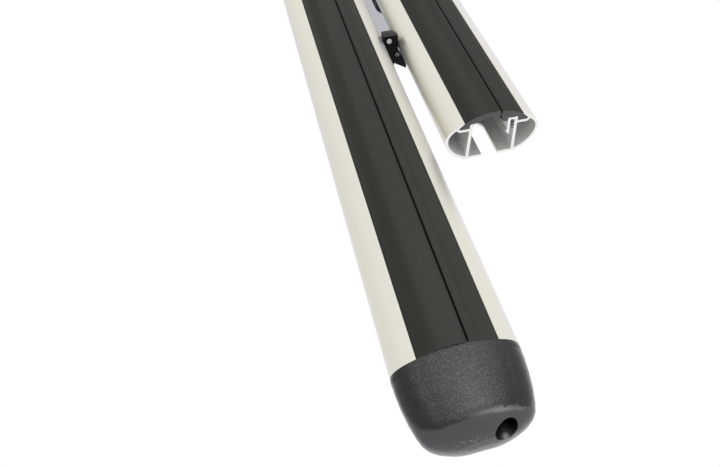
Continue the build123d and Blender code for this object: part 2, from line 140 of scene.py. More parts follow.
class Wiring:
    """Adds and joins the nodes of one material or one node group."""

    def __init__(self, tree: bpy.types.NodeTree) -> None:
        """Starts on a tree.

        Args:
            tree: the node tree to add to.
        """
        self.tree = tree

    def node(
        self, kind: str, values: dict[str | int, object] | None = None, **settings: object
    ) -> bpy.types.Node:
        """Adds a node.

        Args:
            kind: the node's type, such as "ShaderNodeMath".
            values: what its unlinked inputs hold, by name or number.
            settings: properties of the node itself.

        Returns:
            The new node.
        """
        made = self.tree.nodes.new(kind)
        for name, value in settings.items():
            setattr(made, name, value)
        for socket, value in (values or {}).items():
            made.inputs[socket].default_value = value
        return made

    def join(self, source: bpy.types.NodeSocket, target: bpy.types.NodeSocket) -> None:
        """Links an output to an input."""
        self.tree.links.new(source, target)

    def fill(self, target: bpy.types.NodeSocket, value: Value | Tint) -> None:
        """Links a socket to an input, or writes a number or a colour there.

        Args:
            target: the input.
            value: a socket, a number or a colour.
        """
        if isinstance(value, bpy.types.NodeSocket):
            self.join(value, target)
        elif isinstance(value, tuple):
            target.default_value = (*value, 1.0)
        else:
            target.default_value = value

    def reckon(
        self, operation: str, first: Value, second: Value = 0.0, third: Value = 0.0
    ) -> bpy.types.NodeSocket:
        """Works out a number from sockets or plain numbers.

        Args:
            operation: the Math node's operation.
            first: a socket or a number.
            second: a socket or a number.
            third: a socket or a number, for the operations that take three.

        Returns:
            The result's socket.
        """
        made = self.node("ShaderNodeMath", operation=operation)
        for number, value in enumerate((first, second, third)):
            self.fill(made.inputs[number], value)
        return made.outputs[0]

    def times(self, first: Value, second: Value) -> bpy.types.NodeSocket:
        """Multiplies two sockets or numbers."""
        return self.reckon("MULTIPLY", first, second)

    def rest_of(self, share: Value) -> bpy.types.NodeSocket:
        """Takes a share away from 1."""
        return self.reckon("SUBTRACT", 1.0, share)

    def gap(self, first: Value, second: Value) -> bpy.types.NodeSocket:
        """Measures how far two numbers lie apart."""
        return self.reckon("ABSOLUTE", self.reckon("SUBTRACT", first, second))

    def blend(self, amount: Value, first: Tint, second: Tint) -> bpy.types.NodeSocket:
        """Mixes two colours.

        Args:
            amount: share of the second colour, a socket or a number.
            first: a colour or a colour socket.
            second: a colour or a colour socket.

        Returns:
            The mixed colour's socket.
        """
        made = self.node("ShaderNodeMix", data_type="RGBA")
        for number, value in ((0, amount), (6, first), (7, second)):
            self.fill(made.inputs[number], value)
        return made.outputs[2]

    def own_place(self) -> bpy.types.NodeSocket:
        """Reads the piece's own coordinates."""
        return self.node("ShaderNodeTexCoord").outputs["Object"]

    def split(self, vector: bpy.types.NodeSocket) -> bpy.types.NodeOutputs:
        """Splits a vector.

        Args:
            vector: the vector's socket.

        Returns:
            Outputs named X, Y and Z.
        """
        parts = self.node("ShaderNodeSeparateXYZ")
        self.join(vector, parts.inputs[0])
        return parts.outputs

    def scaled(self, across: Value, along: Value) -> bpy.types.NodeSocket:
        """Scales the piece's own coordinates, so many times a metre.

        Args:
            across: repeats a metre along X and Z.
            along: repeats a metre along Y, the bars' direction.

        Returns:
            The scaled coordinates' socket.
        """
        scale = self.node("ShaderNodeCombineXYZ")
        for number, value in enumerate((across, along, across)):
            self.fill(scale.inputs[number], value)
        times = self.node("ShaderNodeVectorMath", operation="MULTIPLY")
        self.join(self.own_place(), times.inputs[0])
        self.join(scale.outputs[0], times.inputs[1])
        return times.outputs[0]

    def away(self, start: bpy.types.Node) -> bpy.types.NodeSocket:
        """Measures how far a spot lies from the middle that a group is given.

        Args:
            start: the group's input node, which has Middle x, Middle y and Middle z.

        Returns:
            The distance's socket.
        """
        middle = self.node("ShaderNodeCombineXYZ")
        for axis in "XYZ":
            self.join(start.outputs[f"Middle {axis.lower()}"], middle.inputs[axis])
        made = self.node("ShaderNodeVectorMath", operation="DISTANCE")
        self.join(self.own_place(), made.inputs[0])
        self.join(middle.outputs[0], made.inputs[1])
        return made.outputs["Value"]

    def noise(self, place: bpy.types.NodeSocket, detail: float, rough: float = 0.5) -> bpy.types.NodeSocket:
        """Adds a noise texture.

        Args:
            place: coordinates, already scaled.
            detail: how many finer layers it has.
            rough: how strong the finer layers are.

        Returns:
            The noise value's socket, about 0.5 on average.
        """
        made = self.node("ShaderNodeTexNoise", {"Scale": 1.0, "Detail": detail, "Roughness": rough})
        self.join(place, made.inputs["Vector"])
        return made.outputs["Fac"]

    def cells(self, place: bpy.types.NodeSocket) -> bpy.types.NodeOutputs:
        """Adds a texture of uneven cells.

        Args:
            place: coordinates, already scaled.

        Returns:
            The texture's outputs: Distance from a cell's middle and the cell's own Color.
        """
        made = self.node("ShaderNodeTexVoronoi", {"Scale": 1.0, "Randomness": 1.0})
        self.join(place, made.inputs["Vector"])
        return made.outputs

    def window(self, value: bpy.types.NodeSocket, low: Value, high: Value) -> bpy.types.NodeSocket:
        """Turns the range low to high smoothly into 0 to 1, held at both ends.

        Args:
            value: the number's socket.
            low: what becomes 0.
            high: what becomes 1.

        Returns:
            The share's socket.
        """
        made = self.node("ShaderNodeMapRange", interpolation_type="SMOOTHSTEP")
        for number, part in enumerate((value, low, high)):
            self.fill(made.inputs[number], part)
        return made.outputs[0]

    def relief(
        self, surface: bpy.types.Node, height: bpy.types.NodeSocket, strength: float, depth: float
    ) -> None:
        """Gives a surface a fine relief.

        Args:
            surface: the shader.
            height: the relief's height, from 0 to about 1.
            strength: how strongly it shows.
            depth: its depth in millimetres.
        """
        bump = self.node("ShaderNodeBump", {"Strength": strength, "Distance": depth * MM})
        self.join(height, bump.inputs["Height"])
        self.join(bump.outputs[0], surface.inputs["Normal"])


@dataclass(frozen=True)
class Effect:
    """A shader node group with named inputs and outputs, built once and used by several finishes."""

    name: str
    inputs: tuple[tuple[str, float], ...]
    outputs: tuple[str, ...]
    draw: Callable[[Wiring, bpy.types.Node, bpy.types.Node], None]

    def tree(self) -> bpy.types.NodeTree:
        """Makes the group, or takes the one that is there.

        Returns:
            The group's node tree.
        """
        found = bpy.data.node_groups.get(self.name)
        if found is not None:
            return found
        made = bpy.data.node_groups.new(self.name, "ShaderNodeTree")
        for label, value in self.inputs:
            socket = made.interface.new_socket(name=label, in_out="INPUT", socket_type="NodeSocketFloat")
            socket.default_value = value
        for label in self.outputs:
            made.interface.new_socket(name=label, in_out="OUTPUT", socket_type="NodeSocketFloat")
        wiring = Wiring(made)
        self.draw(wiring, wiring.node("NodeGroupInput"), wiring.node("NodeGroupOutput"))
        return made

    def place(self, wiring: Wiring, **values: float) -> bpy.types.Node:
        """Places the group in a material.

        Args:
            wiring: the material's wiring.
            values: the group's inputs, with spaces written as underscores.

        Returns:
            The group node.
        """
        made = wiring.node("ShaderNodeGroup")
        made.node_tree = self.tree()
        for name, value in values.items():
            made.inputs[name.replace("_", " ").capitalize()].default_value = value
        return made


def draw_cut_face(wiring: Wiring, start: bpy.types.Node, end: bpy.types.Node) -> None:
    """Mask of the faces that a saw left, those that look along the bars, and the saw's strokes.

    Args:
        wiring: the group's wiring.
        start: the group's input node.
        end: the group's output node.
    """
    facing = wiring.split(wiring.node("ShaderNodeNewGeometry").outputs["True Normal"])
    endwards = wiring.reckon("ABSOLUTE", facing["Y"])
    sawn = wiring.reckon("GREATER_THAN", endwards, start.outputs["Squareness"])
    wiring.join(sawn, end.inputs["Mask"])
    strokes = wiring.noise(wiring.scaled(start.outputs["Tooth marks"], along=1.0), detail=2.0)
    wiring.join(strokes, end.inputs["Strokes"])


def draw_lie(wiring: Wiring, start: bpy.types.Node, end: bpy.types.Node) -> None:
    """How far a rounded surface faces along the bars, how level its top lies for the painted top light, and
    the stretch of its ridge that takes a painted highlight.

    Args:
        wiring: the group's wiring.
        start: the group's input node.
        end: the group's output node.
    """
    given = start.outputs
    facing = wiring.split(wiring.node("ShaderNodeNewGeometry").outputs["Normal"])
    endwards = wiring.reckon("ABSOLUTE", facing["Y"])
    upright = wiring.reckon("MULTIPLY_ADD", facing["Z"], given["Lean"], endwards)
    sideways = wiring.times(wiring.times(facing["X"], facing["X"]), endwards)
    leaning = wiring.reckon("MULTIPLY_ADD", sideways, given["Corner"], upright)
    wiring.join(wiring.window(leaning, given["Face from"], given["Face to"]), end.inputs["Towards end"])
    rise = wiring.window(upright, given["Ridge from"], given["Ridge top"])
    fall = wiring.window(upright, given["Ridge top"], given["Face to"])
    begun = wiring.window(facing["X"], given["Side from"], given["Side to"])
    ended = wiring.window(facing["X"], given["Side to"], given["Side end"])
    ridge = wiring.times(wiring.reckon("SUBTRACT", rise, fall), wiring.reckon("SUBTRACT", begun, ended))
    wiring.join(ridge, end.inputs["Ridge"])
    level = wiring.reckon("MULTIPLY_ADD", facing["X"], given["Crown turn"], facing["Z"])
    wiring.join(wiring.window(level, given["Crown from"], 1.0), end.inputs["Crown"])


def draw_lengthwise(wiring: Wiring, start: bpy.types.Node, end: bpy.types.Node) -> None:
    """Fine lines that an extrusion die leaves along the bars, and slow changes of tone.

    Args:
        wiring: the group's wiring.
        start: the group's input node.
        end: the group's output node.
    """
    given = start.outputs
    fine = wiring.noise(wiring.scaled(given["Lines"], given["Line drift"]), detail=3.0, rough=0.6)
    broad = wiring.noise(wiring.scaled(given["Bands"], given["Band drift"]), detail=1.0)
    wiring.join(fine, end.inputs["Line"])
    wiring.join(broad, end.inputs["Band"])


def draw_grain(wiring: Wiring, start: bpy.types.Node, end: bpy.types.Node) -> None:
    """Spark-eroded grain of a moulding, its high points that take painted glints, and coarse clouds.

    Args:
        wiring: the group's wiring.
        start: the group's input node.
        end: the group's output node.
    """
    given = start.outputs
    place = wiring.scaled(given["Grains"], given["Grains"])
    fine = wiring.noise(place, detail=3.0, rough=0.65)
    height = wiring.reckon("MULTIPLY_ADD", wiring.cells(place)["Distance"], given["Pits"], fine)
    wiring.join(height, end.inputs["Height"])
    wiring.join(wiring.window(height, given["Peak from"], given["Peak to"]), end.inputs["Peak"])
    coarse = wiring.times(given["Grains"], given["Cloud share"])
    wiring.join(wiring.noise(wiring.scaled(coarse, coarse), detail=2.0), end.inputs["Cloud"])


def draw_dust(wiring: Wiring, start: bpy.types.Node, end: bpy.types.Node) -> None:
    """Loose specks of dust about a place, each in its own cell.

    Args:
        wiring: the group's wiring.
        start: the group's input node.
        end: the group's output node.
    """
    given = start.outputs
    cells = wiring.cells(wiring.scaled(given["Density"], given["Density"]))
    chosen = wiring.node("ShaderNodeSeparateColor")
    wiring.join(cells["Color"], chosen.inputs[0])
    kept = wiring.reckon("LESS_THAN", chosen.outputs[0], given["Share"])
    speck = wiring.reckon("LESS_THAN", cells["Distance"], given["Size"])
    settled = wiring.reckon("LESS_THAN", wiring.away(start), given["Spread"])
    wiring.join(wiring.times(wiring.times(kept, speck), settled), end.inputs["Mask"])


def draw_gleam(wiring: Wiring, start: bpy.types.Node, end: bpy.types.Node) -> None:
    """Soft round patch about a place, where a painted highlight goes.

    Args:
        wiring: the group's wiring.
        start: the group's input node.
        end: the group's output node.
    """
    share = wiring.reckon("DIVIDE", wiring.away(start), start.outputs["Spread"])
    wiring.join(wiring.rest_of(wiring.window(share, 0.0, 1.0)), end.inputs["Mask"])


def draw_nook(wiring: Wiring, start: bpy.types.Node, end: bpy.types.Node) -> None:
    """How open a spot is to the light: 0 deep in a recess, 1 on an open face.

    Args:
        wiring: the group's wiring.
        start: the group's input node.
        end: the group's output node.
    """
    given = start.outputs
    near = wiring.node("ShaderNodeAmbientOcclusion", samples=8)
    wiring.join(given["Reach"], near.inputs["Distance"])
    wiring.join(wiring.window(near.outputs["AO"], given["Dark"], given["Open"]), end.inputs["Openness"])


def draw_hollow(wiring: Wiring, start: bpy.types.Node, end: bpy.types.Node) -> None:
    """Mask of the walls inside a bar's oval, of either bar.

    Args:
        wiring: the group's wiring.
        start: the group's input node.
        end: the group's output node.
    """
    given = start.outputs
    place = wiring.split(wiring.own_place())
    aside = wiring.reckon("SUBTRACT", wiring.gap(place["X"], given["Between"]), given["Half pitch"])
    across = wiring.reckon("DIVIDE", aside, given["Half width"])
    rise = wiring.reckon("SUBTRACT", place["Z"], given["Belly"])
    upper = wiring.reckon("GREATER_THAN", rise, 0.0)
    taller = wiring.reckon("SUBTRACT", given["Roof"], given["Keel"])
    height = wiring.reckon("DIVIDE", rise, wiring.reckon("MULTIPLY_ADD", upper, taller, given["Keel"]))
    radius = wiring.reckon("ADD", wiring.times(across, across), wiring.times(height, height))
    within = wiring.reckon("LESS_THAN", radius, given["Inner line"])
    above = wiring.reckon("GREATER_THAN", place["Z"], given["Underside"])
    wiring.join(wiring.times(within, above), end.inputs["Mask"])


def draw_port_thread(wiring: Wiring, start: bpy.types.Node, end: bpy.types.Node) -> None:
    """Marks of the thread that a screw has cut into the walls of its port.

    Args:
        wiring: the group's wiring.
        start: the group's input node.
        end: the group's output node.
    """
    given = start.outputs
    place = wiring.split(wiring.own_place())
    beside = wiring.reckon("LESS_THAN", wiring.gap(place["X"], given["Middle"]), given["Half width"])
    level = wiring.reckon("LESS_THAN", wiring.gap(place["Z"], given["Height"]), given["Half height"])
    slanted = wiring.reckon("MULTIPLY_ADD", place["Z"], given["Slant"], place["Y"])
    turns = wiring.times(wiring.reckon("DIVIDE", slanted, given["Pitch"]), 2 * math.pi)
    shallow = wiring.reckon("SUBTRACT", 0.0, given["Softness"])
    wave = wiring.window(wiring.reckon("SINE", turns), shallow, given["Softness"])
    wiring.join(wiring.times(wiring.times(beside, level), wave), end.inputs["Mask"])


# A group's lengths are metres, and its lines, bands, marks, grains and specks are counted by the metre.
CUT_FACE = Effect(
    "cut face",
    (("Tooth marks", 900.0), ("Squareness", 0.9)),
    ("Mask", "Strokes"),
    draw_cut_face,
)
LIE = Effect(
    "lie of a surface",
    (
        ("Lean", -0.3),
        ("Corner", 1.0),
        ("Face from", 0.2),
        ("Face to", 0.4),
        ("Crown from", 0.83),
        ("Crown turn", -0.07),
        ("Ridge from", 0.02),
        ("Ridge top", 0.2),
        ("Side from", -0.3),
        ("Side to", 0.2),
        ("Side end", 0.6),
    ),
    ("Towards end", "Crown", "Ridge"),
    draw_lie,
)
LENGTHWISE = Effect(
    "lengthwise lines",
    (("Lines", 2500.0), ("Line drift", 1.5), ("Bands", 60.0), ("Band drift", 0.7)),
    ("Line", "Band"),
    draw_lengthwise,
)
GRAIN = Effect(
    "moulded grain",
    (("Grains", 2200.0), ("Pits", -0.6), ("Peak from", 0.12), ("Peak to", 0.50), ("Cloud share", 0.16)),
    ("Height", "Peak", "Cloud"),
    draw_grain,
)
HOLLOW = Effect(
    "inside the section",
    (
        ("Between", 0.0),
        ("Half pitch", 41.0 * MM),
        ("Half width", 35.0 * MM),
        ("Belly", 20.5 * MM),
        ("Roof", 18.3 * MM),
        ("Keel", 24.3 * MM),
        ("Inner line", 0.94),
        ("Underside", 1.0 * MM),
    ),
    ("Mask",),
    draw_hollow,
)
PORT_THREAD = Effect(
    "port thread",
    (
        ("Middle", 0.0),
        ("Height", 25.0 * MM),
        ("Half width", 1.8 * MM),
        ("Half height", 5.0 * MM),
        ("Pitch", 2.6 * MM),
        ("Slant", 0.9),
        ("Softness", 0.4),
    ),
    ("Mask",),
    draw_port_thread,
)
NOOK = Effect(
    "recess shade",
    (("Reach", 14.0 * MM), ("Dark", 0.45), ("Open", 0.90)),
    ("Openness",),
    draw_nook,
)
MIDDLE = (("Middle x", 0.0), ("Middle y", 0.0), ("Middle z", 0.0))
GLEAM = Effect("painted_gleam", (*MIDDLE, ("Spread", 2.0 * MM)), ("Mask",), draw_gleam)
# The dust's spread is wider than the whole object, unless a finish gives another.
DUST = Effect(
    "loose dust",
    (("Density", 300.0), ("Share", 0.02), ("Size", 0.2), *MIDDLE, ("Spread", 10.0)),
    ("Mask",),
    draw_dust,
)


def about(middle: Place, spread: float) -> dict[str, float]:
    """Names a place and a reach as the inputs of the painted highlight's patch and of the dust.

    Args:
        middle: the place, in millimetres.
        spread: the reach, in millimetres.

    Returns:
        The inputs' values, in metres.
    """
    values = {f"middle_{axis}": value * MM for axis, value in zip("xyz", middle)}
    return {**values, "spread": spread * MM}


@dataclass(frozen=True)
class Finish:
    """A finish that several pieces share."""

    slot: Slot

    def material(self) -> bpy.types.Material:
        """Makes the finish's material, or takes the one that is there.

        Returns:
            The material.
        """
        name = f"{self.slot.value} {type(self).__name__}"
        found = bpy.data.materials.get(name)
        if found is not None:
            return found
        made = bpy.data.materials.new(name)
        made.use_nodes = True
        self.wire(Wiring(made.node_tree), made.node_tree.nodes["Principled BSDF"])
        return made

    def wire(self, wiring: Wiring, surface: bpy.types.Node) -> None:
        """Adds what the surface reads.

        Args:
            wiring: the material's wiring.
            surface: its shader.
        """
        raise NotImplementedError


@dataclass(frozen=True, kw_only=True)
class SatinAluminium(Finish):
    """Anodised extrusion, silk smooth, with bright sawn ends.

    The belly, the underside and the port's height are heights above the bar's base. The roof and the keel
    are the oval's reach above and below its belly, and the port lies to the right of the bar's middle.
    """

    layout: Layout
    slot: Slot = Slot.ALUMINIUM
    belly: float = 20.5
    roof: float = 18.3
    keel: float = 24.3
    underside: float = 1.0
    port_aside: float = 14.15
    port_height: float = 25.0
    tone: Colour = (0.80, 0.78, 0.69)
    shade: Colour = (0.74, 0.725, 0.64)
    streak: float = 0.12
    # The painted sheen: a paler, cooler colour blended in where the surface is seen at a grazing angle,
    # painted in place of a reflection.
    painted_sheen: Colour = (0.80, 0.78, 0.84)
    painted_sheen_blend: float = 0.35
    painted_sheen_from: float = 0.35
    painted_sheen_to: float = 0.95
    sawn: Colour = WHITE
    inner: Colour = (0.84, 0.84, 0.82)
    thread: Colour = (0.30, 0.30, 0.30)
    metal: float = 0.80
    dull_metal: float = 0.35
    roughness: float = 0.40
    roughness_range: float = 0.16
    relief: float = 0.10
    relief_depth: float = 0.05

    def wire(self, wiring: Wiring, surface: bpy.types.Node) -> None:
        """Adds die lines, tone bands, a painted sheen at grazing angles, the inner walls and the sawn ends.

        Args:
            wiring: the material's wiring.
            surface: its shader.
        """
        lines = LENGTHWISE.place(wiring, lines=2600.0, bands=70.0).outputs
        ends = CUT_FACE.place(wiring, tooth_marks=1400.0).outputs
        inside = self.inside(wiring)
        cut_thread = self.cut_thread(wiring)
        skin = wiring.blend(lines["Band"], self.tone, self.shade)
        streaked = wiring.blend(wiring.times(lines["Line"], self.streak), skin, self.sawn)
        # Painted sheen: paler and cooler towards grazing angles.
        slope = wiring.node("ShaderNodeLayerWeight", {"Blend": self.painted_sheen_blend}).outputs["Facing"]
        sheened = wiring.blend(wiring.window(slope, self.painted_sheen_from, self.painted_sheen_to), streaked, self.painted_sheen)
        threaded = wiring.blend(cut_thread, self.inner, self.thread)
        colour = wiring.blend(ends["Mask"], wiring.blend(inside, sheened, threaded), self.sawn)
        wiring.join(colour, surface.inputs["Base Color"])
        dulled = wiring.reckon("MAXIMUM", inside, ends["Mask"])
        metal = wiring.reckon("MULTIPLY_ADD", dulled, self.dull_metal - self.metal, self.metal)
        wiring.join(metal, surface.inputs["Metallic"])
        smoothest = self.roughness - self.roughness_range / 2
        rough = wiring.reckon("MULTIPLY_ADD", lines["Line"], self.roughness_range, smoothest)
        wiring.join(rough, surface.inputs["Roughness"])
        drawn = wiring.times(lines["Line"], wiring.rest_of(ends["Mask"]))
        height = wiring.reckon("ADD", drawn, wiring.times(ends["Strokes"], ends["Mask"]))
        wiring.relief(surface, height, self.relief, self.relief_depth)

    def inside(self, wiring: Wiring) -> bpy.types.NodeSocket:
        """Masks the walls inside both bars.

        Args:
            wiring: the material's wiring.

        Returns:
            The mask's socket.
        """
        bars = self.layout
        return HOLLOW.place(
            wiring,
            between=(bars.left_middle + bars.right_middle) / 2 * MM,
            half_pitch=(bars.right_middle - bars.left_middle) / 2 * MM,
            half_width=bars.width / 2 * MM,
            belly=(bars.base + self.belly) * MM,
            roof=self.roof * MM,
            keel=self.keel * MM,
            underside=(bars.base + self.underside) * MM,
        ).outputs["Mask"]

    def cut_thread(self, wiring: Wiring) -> bpy.types.NodeSocket:
        """Masks the thread marks in the right bar's screw port.

        Args:
            wiring: the material's wiring.

        Returns:
            The mask's socket.
        """
        middle = (self.layout.right_middle + self.port_aside) * MM
        height = (self.layout.base + self.port_height) * MM
        return PORT_THREAD.place(wiring, middle=middle, height=height).outputs["Mask"]


@dataclass(frozen=True)
class StripRubber(Finish):
    """Extruded rubber: dull black, faintly streaked lengthwise, paler where it is cut."""

    slot: Slot = Slot.RUBBER
    tone: Colour = (0.0185, 0.0196, 0.0143)
    bloom: Colour = (0.0310, 0.0327, 0.0250)
    bloom_from: float = 0.36
    bloom_to: float = 0.64
    cut: Colour = (0.10, 0.10, 0.105)
    dust: Colour = (0.09, 0.09, 0.085)
    roughness: float = 0.56
    roughness_range: float = 0.14
    specular: float = 0.27
    relief: float = 0.25
    relief_depth: float = 0.1

    def wire(self, wiring: Wiring, surface: bpy.types.Node) -> None:
        """Adds lengthwise bloom, the cut faces, specks and a soft relief.

        Args:
            wiring: the material's wiring.
            surface: its shader.
        """
        lines = LENGTHWISE.place(wiring, lines=1500.0, bands=120.0).outputs
        ends = CUT_FACE.place(wiring, tooth_marks=2500.0).outputs["Mask"]
        specks = DUST.place(wiring, density=420.0, share=0.012, size=0.16).outputs["Mask"]
        bloomed = wiring.window(lines["Band"], self.bloom_from, self.bloom_to)
        skin = wiring.blend(bloomed, self.tone, self.bloom)
        colour = wiring.blend(ends, wiring.blend(specks, skin, self.dust), self.cut)
        wiring.join(colour, surface.inputs["Base Color"])
        surface.inputs["Specular IOR Level"].default_value = self.specular
        smoothest = self.roughness - self.roughness_range / 2
        rough = wiring.reckon("MULTIPLY_ADD", lines["Line"], self.roughness_range, smoothest)
        wiring.join(rough, surface.inputs["Roughness"])
        wiring.relief(surface, lines["Line"], self.relief, self.relief_depth)


@dataclass(frozen=True, kw_only=True)
class GrainedMoulding(Finish):
    """Black moulded plastic of an end cap, with a fine eroded grain, painted glints on its high points and
    painted light on its top.

    The left bar's near cap has dust on its end face and a painted highlight at the lower edge of its screw
    recess.
    Both offsets start in the middle of that face, at the height of the bar's base.
    """

    layout: Layout
    slot: Slot = Slot.MOULDING
    tone: Colour = (0.010, 0.010, 0.009)
    # Painted light from above: the top is lighter than the sides, and the grain's high points take painted
    # glints, fewer on the sides.
    painted_crown_light: Colour = (0.056, 0.056, 0.052)
    peak_glint: Colour = (0.150, 0.150, 0.141)
    side_glint_share: float = 0.15
    # A painted highlight along the right part of the ridge between the top and the end face.
    painted_ridge_highlight: Colour = (0.33, 0.32, 0.33)
    painted_ridge_highlight_share: float = 0.65
    # The end face's colour: the smoother moulding's own tone, made lighter than the top as painted light on
    # the front.
    face: Colour = (0.072, 0.067, 0.074)
    # A painted sheen: a paler rim blended in where the surface is seen at a grazing angle.
    painted_rim_sheen: Colour = (0.42, 0.42, 0.41)
    painted_rim_sheen_share: float = 0.75
    painted_rim_sheen_blend: float = 0.5
    painted_rim_sheen_from: float = 0.45
    dust: Colour = (0.55, 0.55, 0.54)
    dust_offset: Place = (-7.15, 0.0, 21.0)
    dust_spread: float = 9.0
    # A painted highlight, a small lit spot on the lower edge of the screw recess.
    painted_gleam: Colour = (0.26, 0.26, 0.25)
    painted_gleam_offset: Place = (10.75, 1.6, 19.9)
    painted_gleam_spread: float = 2.4
    roughness: float = 0.40
    peak_gloss: float = 0.12
    specular: float = 0.12
    coat: float = 0.38
    face_coat: float = 0.38
    relief: float = 0.6
    relief_depth: float = 0.12

    def wire(self, wiring: Wiring, surface: bpy.types.Node) -> None:
        """Adds the colours, the gloss and the grain's relief.

        Args:
            wiring: the material's wiring.
            surface: its shader.
        """
        grain = GRAIN.place(wiring, grains=1500.0).outputs
        lie = LIE.place(wiring).outputs
        openness = NOOK.place(wiring).outputs["Openness"]
        wiring.join(self.colour(wiring, grain["Peak"], lie, openness), surface.inputs["Base Color"])
        surface.inputs["Specular IOR Level"].default_value = self.specular
        coat = wiring.reckon("MULTIPLY_ADD", lie["Towards end"], self.face_coat - self.coat, self.coat)
        wiring.join(wiring.times(openness, coat), surface.inputs["Coat Weight"])
        surface.inputs["Coat Roughness"].default_value = self.roughness
        rough = wiring.reckon("MULTIPLY_ADD", grain["Peak"], -self.peak_gloss, self.roughness)
        wiring.join(rough, surface.inputs["Roughness"])
        wiring.relief(surface, grain["Height"], self.relief, self.relief_depth)

    def colour(
        self,
        wiring: Wiring,
        peak_glint: bpy.types.NodeSocket,
        lie: bpy.types.NodeOutputs,
        openness: bpy.types.NodeSocket,
    ) -> bpy.types.NodeSocket:
        """Mixes the painted top light and glints, the end faces' partly painted tone, the painted ridge
        highlight, the painted rim sheen, painted recess shade, the painted highlight spot and dust.

        Args:
            wiring: the material's wiring.
            peak_glint: the grain's high points, where the painted glints go.
            lie: how the surface lies.
            openness: how open it is to the light.

        Returns:
            The colour's socket.
        """
        # Painted light from above lifts the glints on the top; the end faces get none.
        lit_from_above = wiring.reckon("MULTIPLY_ADD", lie["Crown"], 1.0 - self.side_glint_share, self.side_glint_share)
        glint_share = wiring.times(wiring.times(peak_glint, lit_from_above), wiring.rest_of(lie["Towards end"]))
        top_lit_ground = wiring.blend(lie["Crown"], self.tone, self.painted_crown_light)
        plain = wiring.blend(glint_share, wiring.blend(lie["Towards end"], top_lit_ground, self.face), self.peak_glint)
        # Painted ridge highlight.
        skin = wiring.blend(wiring.times(lie["Ridge"], self.painted_ridge_highlight_share), plain, self.painted_ridge_highlight)
        # Painted rim sheen at grazing angles, then painted shade deep in the recess.
        slope = wiring.node("ShaderNodeLayerWeight", {"Blend": self.painted_rim_sheen_blend}).outputs["Facing"]
        edge = wiring.times(wiring.window(slope, self.painted_rim_sheen_from, 1.0), self.painted_rim_sheen_share)
        shaded = wiring.blend(openness, BLACK, wiring.blend(edge, skin, self.painted_rim_sheen))
        # Painted highlight at the recess's lower edge.
        gleaming = about(self.layout.from_near_face(self.painted_gleam_offset), self.painted_gleam_spread)
        lit = wiring.blend(GLEAM.place(wiring, **gleaming).outputs["Mask"], shaded, self.painted_gleam)
        settled = about(self.layout.from_near_face(self.dust_offset), self.dust_spread)
        specks = DUST.place(wiring, density=900.0, share=0.22, size=0.24, **settled).outputs["Mask"]
        return wiring.blend(specks, lit, self.dust)


@dataclass(frozen=True, kw_only=True)
class ShadedFootMoulding(GrainedMoulding):
    """The same plastic on a foot, darker all over as painted shade between the bars, and black on its upright
    faces as deeper painted shade.
    """

    # Painted shade: darker copies of the cap's colours, with the painted ridge highlight and rim sheen left
    # out.
    painted_crown_light: Colour = (0.012, 0.0125, 0.011)
    peak_glint: Colour = (0.040, 0.041, 0.036)
    painted_ridge_highlight_share: float = 0.0
    face: Colour = (0.003, 0.003, 0.003)
    painted_rim_sheen_share: float = 0.0
    roughness: float = 0.50
    coat: float = 0.45
    face_coat: float = 0.0


@dataclass(frozen=True)
class PlatedSteel(Finish):
    """Zinc-plated steel of the fasteners."""

    slot: Slot = Slot.STEEL
    tone: Colour = (0.58, 0.57, 0.54)
    stain: Colour = (0.36, 0.36, 0.36)
    roughness: float = 0.30
    roughness_range: float = 0.20

    def wire(self, wiring: Wiring, surface: bpy.types.Node) -> None:
        """Adds a cloudy tone and small differences of gloss.

        Args:
            wiring: the material's wiring.
            surface: its shader.
        """
        cloud = GRAIN.place(wiring, grains=1500.0).outputs["Cloud"]
        wiring.join(wiring.blend(cloud, self.tone, self.stain), surface.inputs["Base Color"])
        smoothest = self.roughness - self.roughness_range / 2
        rough = wiring.reckon("MULTIPLY_ADD", cloud, self.roughness_range, smoothest)
        wiring.join(rough, surface.inputs["Roughness"])
        surface.inputs["Metallic"].default_value = 1.0


@dataclass(frozen=True)
class LugSteel(PlatedSteel):
    """Plated steel of the lugs' screws, with painted shade on the lower one.

    All lugs stand at one height, so one material does for their screws.
    """

    # Painted shade: the lower screw sits in shade, so its colour is darker.
    painted_shade: Colour = (0.10, 0.10, 0.095)
    painted_shade_below: float = 40.0
    painted_shade_width: float = 1.0

    def wire(self, wiring: Wiring, surface: bpy.types.Node) -> None:
        """Adds the painted shade under a height.

        Args:
            wiring: the material's wiring.
            surface: its shader.
        """
        super().wire(wiring, surface)
        height = wiring.split(wiring.own_place())["Z"]
        unshaded = wiring.window(height, self.painted_shade_below * MM, (self.painted_shade_below + self.painted_shade_width) * MM)
        plated = surface.inputs["Base Color"].links[0].from_socket
        wiring.join(wiring.blend(unshaded, self.painted_shade, plated), surface.inputs["Base Color"])


